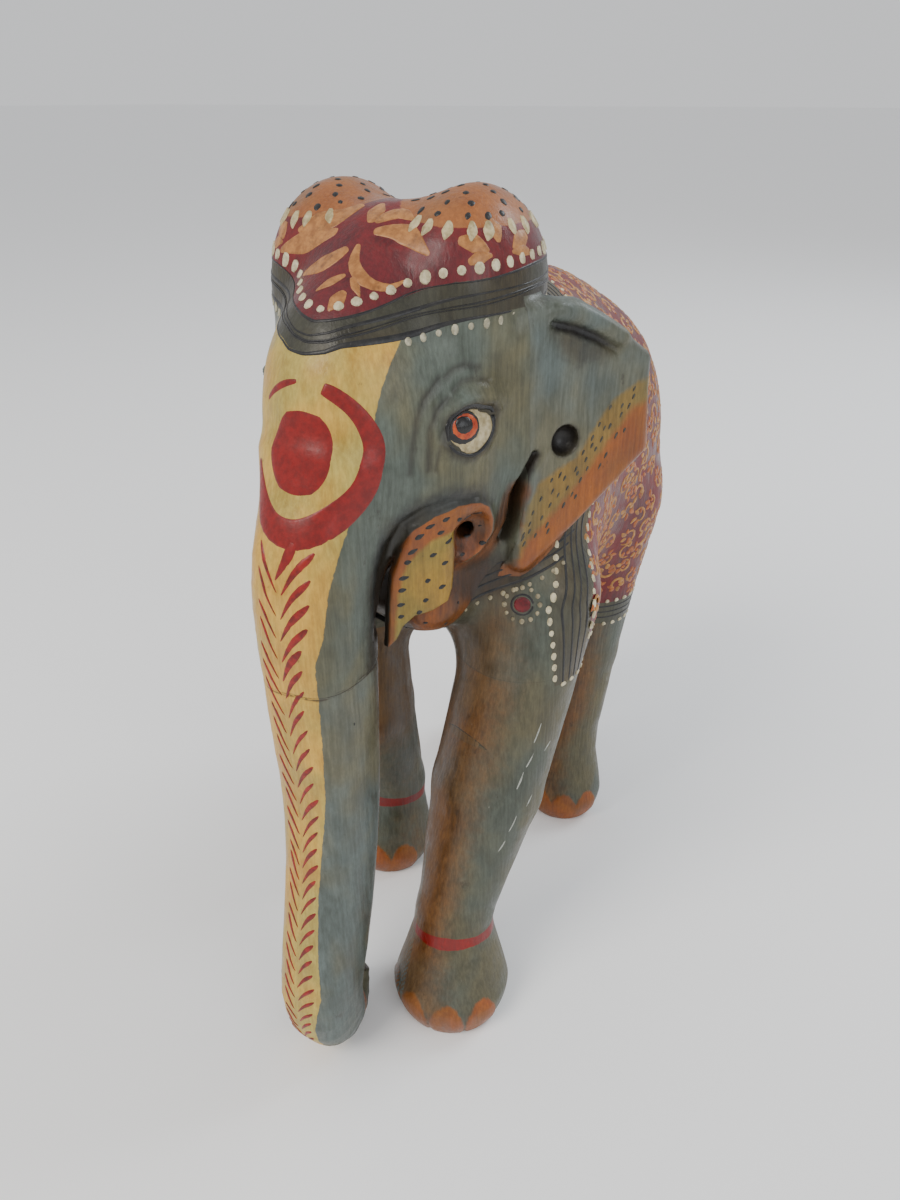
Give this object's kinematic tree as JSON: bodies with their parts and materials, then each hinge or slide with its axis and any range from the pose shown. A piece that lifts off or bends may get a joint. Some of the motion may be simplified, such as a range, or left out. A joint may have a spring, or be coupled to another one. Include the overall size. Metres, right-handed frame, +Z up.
{
  "type": "carved wooden elephant figurine",
  "caption": "Standing elephant with raised domes on its head, a long hanging trunk, side ears and a walking stance, carved in wood and painted as if dressed for a parade.",
  "frame": {"origin": "on the ground at the middle of the bounding box, under the belly", "axes": "-Y is where the elephant faces, +X its own left side, +Z up"},
  "size_m": [0.1374, 0.2467, 0.3016],
  "materials": {
    "painted_grey": "satin",
    "painted_maroon": "satin",
    "painted_ochre": "satin",
    "painted_orange": "satin",
    "painted_red": "satin",
    "painted_cream": "satin",
    "painted_black": "satin",
    "bare_wood": "matte"
  },
  "bodies": {
    "root": {"torso": "painted_maroon", "head": "painted_grey", "lower_trunk": "painted_grey", "left_ear": "painted_grey", "right_ear": "painted_grey", "front_left_leg": "painted_grey", "front_right_leg": "painted_grey", "rear_left_leg": "painted_grey", "rear_right_leg": "painted_grey", "tail": "painted_grey", "neck_dowels": "bare_wood", "trunk_dowel": "bare_wood", "leg_dowels": "bare_wood", "ear_pegs": "bare_wood"}
  },
  "joints": []
}
